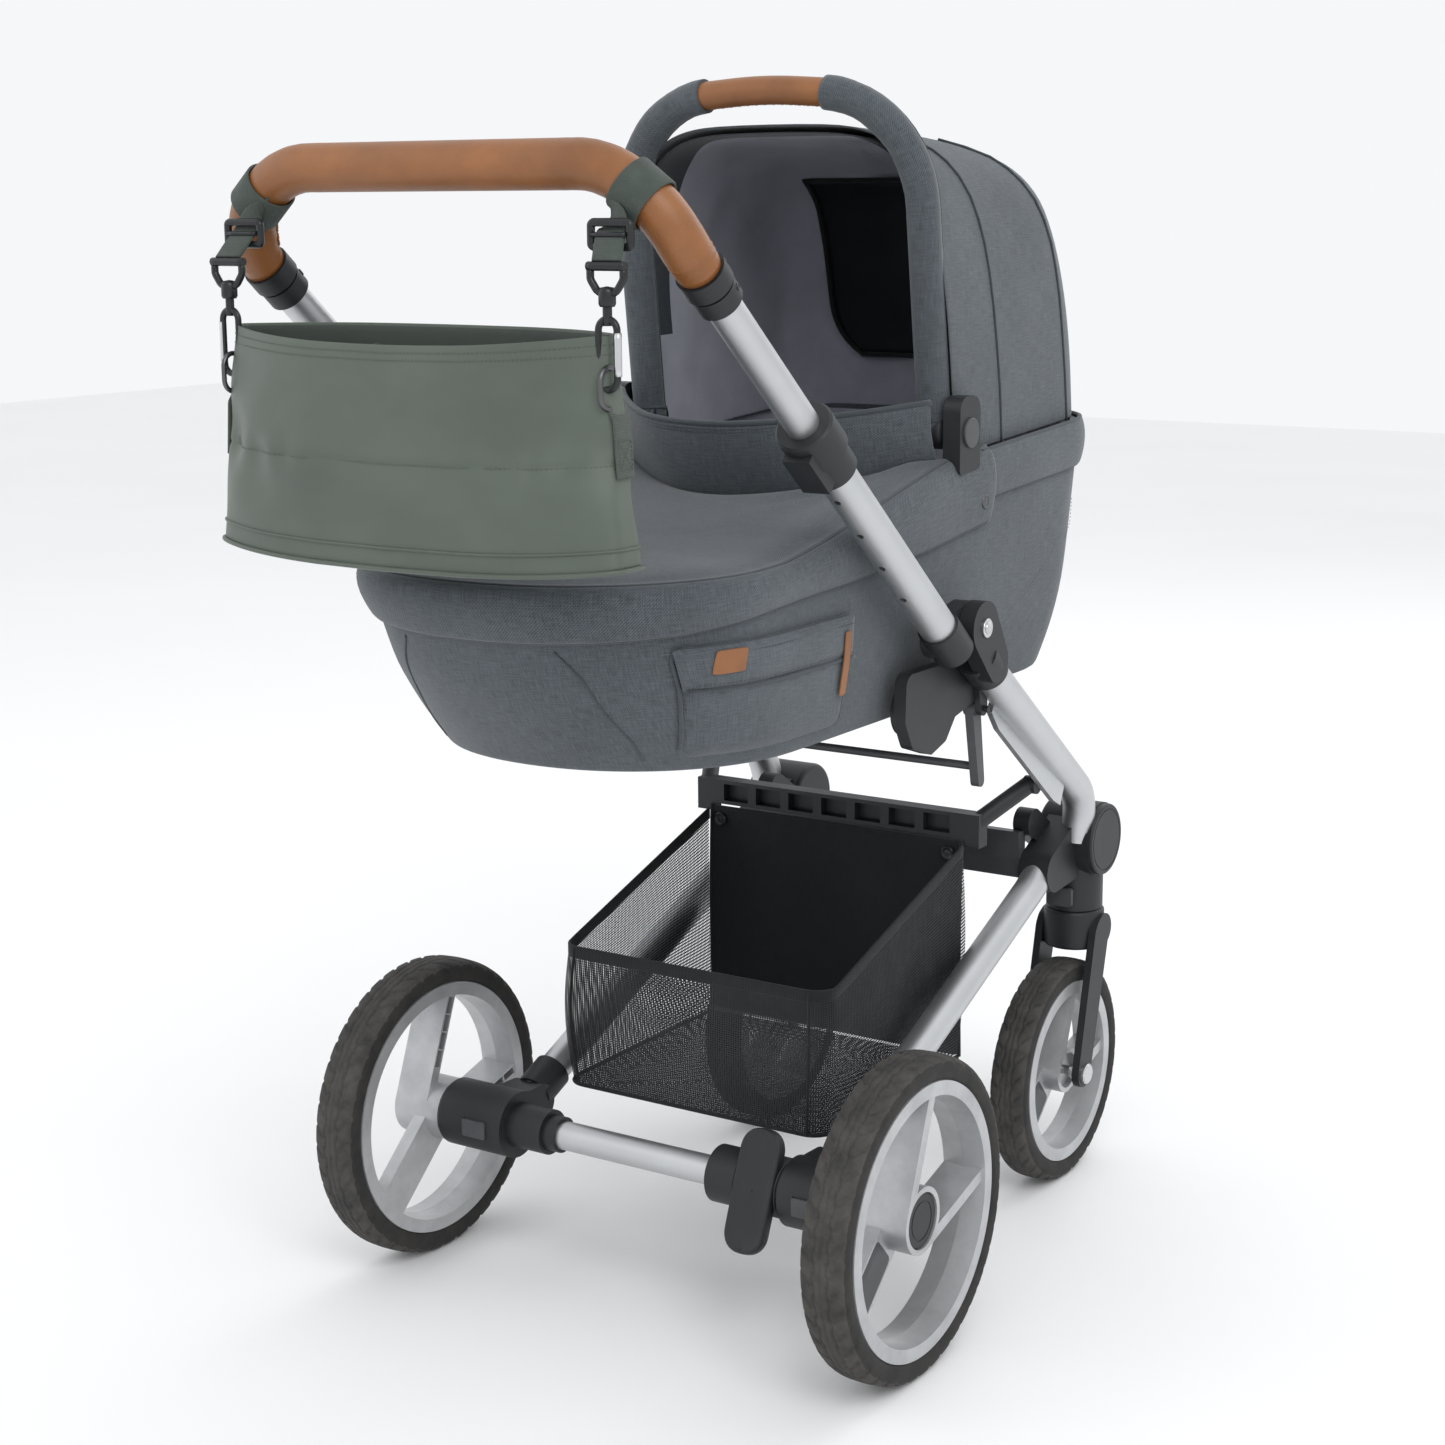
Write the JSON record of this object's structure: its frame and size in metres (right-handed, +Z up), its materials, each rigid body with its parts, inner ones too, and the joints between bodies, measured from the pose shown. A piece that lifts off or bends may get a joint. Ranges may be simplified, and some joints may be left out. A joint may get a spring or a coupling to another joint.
{
  "type": "baby stroller",
  "caption": "Folding pushchair with a hooded carrycot, swivelling front casters, a mesh basket and a bag on the handlebar",
  "frame": {"origin": "On the ground under the middle of the whole stroller", "axes": "+Z up, +Y the way the stroller is pushed, +X its right-hand side"},
  "size_m": [0.59, 0.948, 1.1448],
  "materials": {
    "aluminium_tube": "satin anodised",
    "black_plastic": "fine matt texture",
    "grey_plastic": "matt",
    "rim_silver": "satin silver",
    "tread": "worn foam rubber",
    "steel": "bright",
    "cognac_leather": "smooth leatherette",
    "blue_grey_twill": "melange twill",
    "pale_lining": "quilted cotton",
    "black_mesh": "open mesh",
    "black_fabric": "plain weave",
    "sage_satin": "satin nylon",
    "sage_webbing": "woven webbing",
    "black_metal": "anodised black"
  },
  "bodies": {
    "chassis": {"leg_tubes": "aluminium_tube", "rear_elbows": "black_plastic", "rear_axle_tube": "aluminium_tube", "axle_pins": "steel", "brake_housing": "black_plastic", "hub_housings": "black_plastic", "hub_caps": "black_plastic", "leg_brackets": "black_plastic", "front_crossbar": "grey_plastic", "caster_sockets": "black_plastic", "lower_tubes": "aluminium_tube", "hinge_bases": "black_plastic", "hinge_pins": "steel", "cot_adapters": "black_plastic", "basket_frame": "black_plastic", "basket_panel": "black_fabric", "basket_mesh": "black_mesh", "snaps": "steel", "cot_body": "blue_grey_twill", "cot_apron": "blue_grey_twill", "wind_flap": "blue_grey_twill", "mattress": "pale_lining", "side_pocket": "blue_grey_twill", "leather_tab": "cognac_leather", "hood_hubs": "black_plastic"},
    "handle_base": {"outer_tubes": "aluminium_tube", "hinge_arms": "black_plastic", "height_clamps": "black_plastic"},
    "handle": {"handle_bar": "aluminium_tube", "handle_grip": "cognac_leather", "grip_collars": "black_plastic", "bag_straps": "sage_webbing"},
    "bag": {"bag": "sage_satin", "bag_hooks": "black_metal"},
    "hood": {"hood_bow": "blue_grey_twill", "hood_grip": "cognac_leather", "hood_canopy": "blue_grey_twill"},
    "brake": {"brake_pedal": "black_plastic"},
    "levers": {"fold_levers": "grey_plastic"},
    "zip": {"zip_pull": "cognac_leather"},
    "caster_left": {"caster_fork_left": "black_plastic", "front_axle_left": "steel"},
    "front_wheel_left": {"front_tyre_left": "tread", "front_rim_left": "rim_silver"},
    "rear_wheel_left": {"rear_tyre_left": "tread", "rear_rim_left": "rim_silver", "rear_hub_cap_left": "black_plastic"},
    "lock_left": {"swivel_lock_left": "grey_plastic"},
    "release_left": {"wheel_release_left": "grey_plastic"},
    "button_left": {"hood_button_left": "grey_plastic"},
    "caster_right": {"caster_fork_right": "black_plastic", "front_axle_right": "steel"},
    "front_wheel_right": {"front_tyre_right": "tread", "front_rim_right": "rim_silver"},
    "rear_wheel_right": {"rear_tyre_right": "tread", "rear_rim_right": "rim_silver", "rear_hub_cap_right": "black_plastic"},
    "lock_right": {"swivel_lock_right": "grey_plastic"},
    "release_right": {"wheel_release_right": "grey_plastic"},
    "button_right": {"hood_button_right": "grey_plastic"}
  },
  "joints": [
    {"name": "handle_fold", "type": "hinge", "parent": "chassis", "child": "handle_base", "pos_m": [0, 0.0627, 0.64418], "axis": [-1, 0, 0], "range_deg": [0, 155]},
    {"name": "handle_slide", "type": "slide", "parent": "handle_base", "child": "handle", "axis": [0, -0.7593, 0.6508], "range_m": [-0.15, 0], "deforming": ["bag"]},
    {"name": "bag_swing", "type": "hinge", "parent": "handle", "child": "bag", "pos_m": [0, -0.46, 0.966], "axis": [-1, 0, 0], "range_deg": [0, 116.25]},
    {"name": "hood_fold", "type": "hinge", "parent": "chassis", "child": "hood", "pos_m": [0, 0.1, 0.819], "axis": [-1, 0, 0], "range_deg": [0, 75], "deforming": ["hood_canopy"]},
    {"name": "brake_press", "type": "hinge", "parent": "chassis", "child": "brake", "pos_m": [0.13, -0.145, 0.148], "axis": [1, 0, 0], "range_deg": [0, 20]},
    {"name": "fold_lever_pull", "type": "hinge", "parent": "chassis", "child": "levers", "pos_m": [0, 0.117, 0.556], "axis": [-1, 0, 0], "range_deg": [0, 25], "stiffness_Nm_per_rad": 2},
    {"name": "zip_slide", "type": "slide", "parent": "chassis", "child": "zip", "axis": [0, -1, 0], "range_m": [0, 0.13]},
    {"name": "caster_swivel_left", "type": "hinge", "parent": "chassis", "child": "caster_left", "pos_m": [-0.177, 0.395, 0.3], "axis": [0, 0, 1], "continuous": true},
    {"name": "front_wheel_spin_left", "type": "hinge", "parent": "caster_left", "child": "front_wheel_left", "pos_m": [-0.177, 0.355, 0.119], "axis": [1, 0, 0], "continuous": true},
    {"name": "rear_wheel_spin_left", "type": "hinge", "parent": "chassis", "child": "rear_wheel_left", "pos_m": [-0.272, -0.145, 0.148], "axis": [1, 0, 0], "continuous": true},
    {"name": "swivel_lock_left", "type": "slide", "parent": "chassis", "child": "lock_left", "axis": [0, 0, -1], "range_m": [0, 0.006]},
    {"name": "wheel_release_left", "type": "slide", "parent": "chassis", "child": "release_left", "axis": [0, 1, 0], "range_m": [0, 0.004], "stiffness_N_per_m": 400},
    {"name": "hood_button_left", "type": "slide", "parent": "chassis", "child": "button_left", "axis": [1, 0, 0], "range_m": [0, 0.003], "stiffness_N_per_m": 400},
    {"name": "caster_swivel_right", "type": "hinge", "parent": "chassis", "child": "caster_right", "pos_m": [0.177, 0.395, 0.3], "axis": [0, 0, 1], "continuous": true},
    {"name": "front_wheel_spin_right", "type": "hinge", "parent": "caster_right", "child": "front_wheel_right", "pos_m": [0.177, 0.355, 0.119], "axis": [1, 0, 0], "continuous": true},
    {"name": "rear_wheel_spin_right", "type": "hinge", "parent": "chassis", "child": "rear_wheel_right", "pos_m": [0.272, -0.145, 0.148], "axis": [1, 0, 0], "continuous": true},
    {"name": "swivel_lock_right", "type": "slide", "parent": "chassis", "child": "lock_right", "axis": [0, 0, -1], "range_m": [0, 0.006]},
    {"name": "wheel_release_right", "type": "slide", "parent": "chassis", "child": "release_right", "axis": [0, 1, 0], "range_m": [0, 0.004], "stiffness_N_per_m": 400},
    {"name": "hood_button_right", "type": "slide", "parent": "chassis", "child": "button_right", "axis": [-1, 0, 0], "range_m": [0, 0.003], "stiffness_N_per_m": 400}
  ],
  "couplings": [
    {"joint": "bag_swing", "follows": "handle_fold", "ratio": 0.75}
  ]
}
